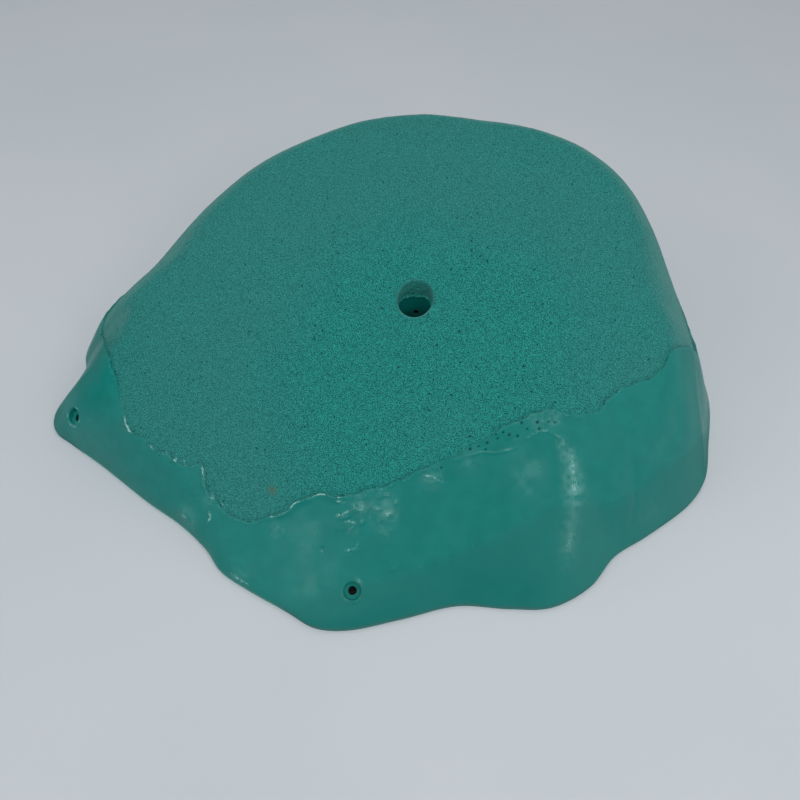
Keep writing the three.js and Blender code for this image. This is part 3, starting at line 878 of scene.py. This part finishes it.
def polyurethane():
    s = Shader("polyurethane")
    edge = s.attribute("edge_distance")
    ragged = s.plus(edge, s.times(s.minus(s.noise(1.6), 0.5), 3.0))
    grip = s.ramp(ragged, -0.35, 0.35)
    back = s.ramp(edge, -55, -45, 1, 0)

    # The foam texture: threads and gaps of under a millimetre, and some larger open pores
    grain = s.noise(0.46, 1.5, 0.6)
    lump = s.noise(2.2)
    wide = s.cells(4.4)
    chosen = s.node("SeparateColor", {0: s.cells(4.4, output=1)})
    crowded = s.ramp(s.noise(26), 0.42, 0.6, 0.92, 0.7)
    open_pore = s.times(s.ramp(wide, 0.06, 0.2, 0.75, 0.0), s.math("GREATER_THAN", chosen, crowded))
    threads = s.plus(s.times(grain, 0.96), s.times(lump, 0.04))
    grain_height = s.minus(threads, s.times(open_pore, 0.3))
    peel = s.plus(s.times(s.noise(7), 0.9), s.times(s.noise(0.8), 0.1))
    grip_bump = s.bump(s.times(grain_height, grip), 0.5)
    normal = s.bump(s.times(peel, s.minus(1.0, grip)), 0.12, grip_bump)

    # Its colours: the gaps and open pores painted darker, a painted shade in the foam's hollows; and
    # paler away from the middle of the top, partly random tone and partly a painted sheen where the top
    # turns away
    cloud = s.noise(60, 3)
    mottle = s.noise(9, 3, 0.6)
    centre = s.distance((5, -50, 75))
    paler_tone_and_sheen = s.plus(s.ramp(centre, 55, 125), s.times(s.minus(cloud, 0.5), 1.2), clamp=True)
    shaded_gap_colour = s.mix(paler_tone_and_sheen, colour(2, 55, 53), colour(19, 82, 79))
    thread_colour = s.mix(paler_tone_and_sheen, colour(47, 162, 154), colour(58, 148, 141))
    grip_colour = s.mix(s.ramp(grain_height, 0.33, 0.67), shaded_gap_colour, thread_colour)
    # Painted shade: the open pores darkest
    grip_colour = s.mix(s.ramp(grain_height, 0.0, 0.3, 0.7, 0.0), grip_colour, colour(6, 52, 50))

    # The smooth skin's colours
    skin_colour = s.mix(s.ramp(mottle, 0.35, 0.7), colour(9, 113, 106), colour(13, 118, 111))
    scuff = s.times(s.ramp(s.noise(22, 4, 0.6), 0.52, 0.75), 0.09)
    skin_colour = s.mix(scuff, skin_colour, colour(56, 128, 122))
    s.body = s.mix(grip, skin_colour, grip_colour)

    # Small bubbles left open in the smooth band beside the texture, as dark spots of painted shade
    band = s.times(s.ramp(edge, -5.0, -1.0), s.ramp(edge, 0.0, 1.2, 1, 0))
    crowd = s.times(band, s.ramp(s.noise(14), 0.45, 0.62, 0.25, 1.0))
    kept = s.node("SeparateColor", {0: s.cells(1.9, output=1)})
    bubble_shade = s.times(s.ramp(s.cells(1.9), 0.14, 0.27, 1, 0), s.math("LESS_THAN", kept, crowd))
    bubble_shade = s.times(bubble_shade, s.math("LESS_THAN", kept, 0.6))
    s.paint(s.times(bubble_shade, 0.8), 5, 62, 60)
    # Painted highlights: pale cloudy patches and the glow along the ridge
    painted_highlight = s.attribute("painted_highlight")
    s.paint(s.times(painted_highlight, 0.36, clamp=True), 118, 166, 160)

    # The skin's torn border: a painted shadow along the bead against the foam and a painted highlight on
    # the bead's crest beside it
    torn = s.ramp(s.noise(1.7, 3, 0.6), 0.44, 0.62)
    torn = s.times(torn, s.ramp(s.noise(28), 0.4, 0.58, 0.3, 1.0))
    bead_shadow = s.times(s.ramp(ragged, -0.7, 0.0), s.ramp(ragged, 0.2, 1.1, 1, 0))
    s.paint(s.times(bead_shadow, torn, 0.75), 4, 62, 60)
    crest = s.times(s.ramp(ragged, -2.0, -1.2), s.ramp(ragged, -1.1, -0.5, 1, 0))
    s.paint(s.times(crest, torn, 0.3), 86, 164, 156)

    # The foam's sheen at a slant, weaker on the flank at the left
    facing = s.node("LayerWeight", {0: 0.5}, output=1)
    dull = s.ramp(s.distance(spot(*FLANK)), 14, 44, 0.25, 1.0)
    s.paint(s.times(grip, s.ramp(facing, 0.35, 0.9, 0.0, 0.35), dull), 138, 176, 172)

    # A brown stain, the painted glints, and the painted shade inside the bubbles
    from_stain = s.distance(spot(*STAIN))
    ragged_stain = s.plus(from_stain, s.times(s.noise(2.5), 5.0))
    s.paint(s.ramp(ragged_stain, 2.0, 6.5, 0.55, 0.0), 96, 92, 70)
    speck = s.times(s.minus(s.noise(0.5), 0.5), 1.6)
    painted_glint_and_shade = s.attribute("painted_glint_and_shade")
    glint_paint = s.ramp(s.plus(s.times(speck, s.ramp(painted_glint_and_shade, 0, 0.1)), painted_glint_and_shade), 0.22, 0.75, 0.0, 0.8)
    s.paint(glint_paint, 166, 212, 206)
    s.paint(s.ramp(painted_glint_and_shade, -0.8, -0.1, 0.75, 0.0), 5, 66, 63)

    # The bolt hole: its pit, painted black inside as painted shade, with a brownish ring; its upper wall
    # paler, partly its rough matte finish and partly painted light; its lower wall painted darker with
    # depth, a painted shade; and a painted glint on the front of its mouth
    from_pit = s.distance(BORE_PIT + [0, 1.2, 0])
    s.paint(s.ramp(from_pit, 1.7, 2.7, 0.7, 0.0), 84, 68, 60)
    s.paint(s.ramp(from_pit, 1.55, 1.9, 1, 0), 8, 8, 8)
    depth, height = (s.node("SeparateXYZ", {0: s.at}, output=k) for k in (1, 2))
    flat = s.node("VectorMath", {0: s.at, 1: (1, 1, 0)}, operation="MULTIPLY")
    from_bolt = s.distance((0, 0, 0), flat)
    bore = s.times(s.ramp(from_bolt, 10.8, 11.3, 1, 0), s.ramp(height, 30, 34))
    upper = s.times(bore, s.ramp(height, FLASH_HEIGHT - 0.5, FLASH_HEIGHT + 2.5))
    s.paint(s.times(upper, 0.3), 70, 142, 136)
    s.paint(s.times(bore, s.ramp(height, 56, 67, 0.5, 0.0)), 1, 50, 46)
    in_front = s.ramp(depth, BOLT_AXIS[1] - 11, BOLT_AXIS[1] - 5, 1, 0)
    lip = s.times(s.ramp(from_bolt, 10.4, 10.9), s.ramp(from_bolt, 11.2, 12.4, 1, 0))
    s.paint(s.times(lip, in_front, 0.55), 128, 176, 170)

    # The foot's edge painted paler, a painted highlight along the rim, and the back
    foot = s.times(s.ramp(height, 0.6, 3.0, 0.75, 0.0), s.ramp(back, 0.2, 0.8, 1.0, 0.3))
    s.paint(foot, 104, 178, 164)
    s.paint(s.times(back, 0.5), 22, 104, 98)

    rough = s.plus(s.ramp(grip, 0, 1, 0.24, 0.8), s.times(s.minus(mottle, 0.5), 0.14))
    rough = s.plus(rough, s.times(s.plus(back, painted_highlight), 0.12))
    grazing = s.ramp(facing, 0.42, 0.78, 1.0, 0.06)
    reflective = s.times(s.ramp(grip, 0, 1, 0.34, 0.22), grazing, dull)
    return s.principled(Base_Color=s.body, Roughness=rough, Normal=normal, IOR=1.5,
                        Specular_IOR_Level=reflective)


def washer_steel(name, middle):
    """Zinc-plated steel, turned marks round the hole and a little rust in random patches."""
    s = Shader(name)
    turned = {"Vector": s.node("CombineXYZ", {0: s.distance(middle)}), "Scale": 6.0, "Detail": 2.0}
    rings = s.node("TexNoise", turned)
    blotch = s.noise(1.8, 4, 0.65)
    steel = s.mix(s.ramp(blotch, 0.3, 0.7), colour(150, 150, 150), colour(176, 178, 180))
    rust = s.ramp(s.noise(2.4, 5, 0.7), 0.5, 0.66, 0.0, 0.75)
    body = s.mix(rust, steel, colour(112, 74, 52))
    metal = s.ramp(rust, 0.1, 0.5, 1.0, 0.2)
    rough = s.plus(s.times(rings, 0.25), s.plus(s.times(rust, 0.4), 0.22))
    normal = s.bump(s.plus(s.times(rings, 0.4), s.times(blotch, 0.5)), 0.08)
    return s.principled(Base_Color=body, Metallic=metal, Roughness=rough, Normal=normal)


def floor_material():
    """A pale floor, with a dark disc of painted shade below each set-screw hole so that the hole looks
    dark.
    """
    s = Shader("floor")
    tone = s.mix(s.ramp(s.noise(260, 3), 0.35, 0.7), colour(192, 198, 204), colour(196, 201, 206))
    for mouth, axis in SCREWS:
        below = mouth - axis * mouth[2] / axis[2]
        tone = s.mix(s.ramp(s.distance(below), 3.0, 4.0, 1, 0), tone, colour(60, 56, 52))
    return s.principled(Base_Color=tone, Roughness=0.55, Specular_IOR_Level=0.25)


def dark_card_material():
    """Dark grey that fades to nothing towards the card's edges."""
    s = Shader("dark_card")
    middle = to_frame(CARD_CENTRE) / MM
    from_centre = s.node("VectorMath", {0: s.at, 1: middle}, operation="SUBTRACT")
    seen = 1.0
    for direction, half in (((1, 0, 0), CARD_HALF_WIDTH), (UPWARD, CARD_HALF_HEIGHT)):
        across = s.node("VectorMath", {0: from_centre, 1: direction}, output=1, operation="DOT_PRODUCT")
        share = s.math("DIVIDE", s.math("ABSOLUTE", across), half)
        seen = s.times(seen, s.ramp(share, 0.35, 1.0, 1, 0))
    return s.principled(Base_Color=colour(84, 86, 90), Roughness=0.9, Alpha=seen)


# The scene

shell = casting()
shell.data.materials.clear()
shell.data.materials.append(polyurethane())
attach(shell, "root")
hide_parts("hold_shell")

for node in ("bolt_washer", "screw_washer_front", "screw_washer_left", "screw_washer_back"):
    low, high = (np.array(corner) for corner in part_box(node))
    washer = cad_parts[node]
    steel = washer_steel(node + "_steel", (low + high) / 2 / MM - [*BOLT_AXIS, 0])
    for slot in washer.material_slots:
        slot.material = steel

bpy.ops.mesh.primitive_plane_add(size=8)
floor = bpy.context.object
floor.name = "floor"
floor.data.materials.append(floor_material())

camera = bpy.data.objects.new("camera", bpy.data.cameras.new("camera"))
camera.data.sensor_width = camera.data.lens = 36
camera.location = to_frame(CAMERA_PLACE)
camera.rotation_euler = (math.pi / 2 - CAMERA_PITCH, 0, 0)
scene.camera = link(camera)


def aim(holder, target):
    holder.rotation_euler = (Vector(target) - holder.location).to_track_quat("-Z", "Y").to_euler()


def lamp(name, place, size, power, tone=(1, 1, 1), reflected=False):
    """A rectangular lamp that faces the hold."""
    light = bpy.data.lights.new(name, "AREA")
    light.shape, light.size, light.size_y = "RECTANGLE", *size
    light.energy, light.color = power, tone
    holder = bpy.data.objects.new(name, light)
    holder.location, holder.visible_glossy = place, reflected
    aim(holder, (0, 0, 0.05))
    return link(holder)


lamp("ceiling", (0.0, -0.7, 1.5), (1.2, 0.8), 9.6, (1, 0.995, 0.975))
lamp("fill", (-0.95, -0.35, 0.75), (0.6, 0.5), 1.5, (0.96, 0.98, 1))
lamp("window", (0.67, -0.71, 0.88), (0.14, 0.42), 1.9)
side = lamp("side", (0.8, -0.42, 0.24), (0.2, 0.2), 0.12)
side.data.spread = math.radians(70)
aim(side, (0.16, -0.08, 0.03))
lamp("tube", (0.05, 0.4, 1.5), (0.5, 0.16), 2.2, reflected=True)

corners = [CARD_CENTRE + a * CARD_HALF_WIDTH * np.array([1, 0, 0]) + b * CARD_HALF_HEIGHT * UPWARD
           for a, b in ((-1, -1), (1, -1), (1, 1), (-1, 1))]
card = mesh_object("card", corners, [(0, 1, 2, 3)])
card.data.materials.append(dark_card_material())
card.visible_camera = card.visible_diffuse = card.visible_shadow = False

# The world: a pale backdrop to the camera and in reflections, and soft light from above elsewhere
s = Shader("world", bpy.data.worlds)
upward = s.node("SeparateXYZ", {0: s.node("TexCoord")}, output=2)
lit = s.node("Background", {0: (0.94, 0.975, 1, 1), 1: s.ramp(upward, 0, 1, 0.3, 0.5)})
seen = s.node("Background", {0: colour(190, 197, 204), 1: 1.0})
rays = [s.node("LightPath", output=name) for name in ("Is Camera Ray", "Is Glossy Ray")]
mixed = s.node("MixShader", {0: s.math("MAXIMUM", *rays), 1: lit, 2: seen})
scene.world = s.finish("World", mixed)

scene.view_settings.view_transform = "Standard"
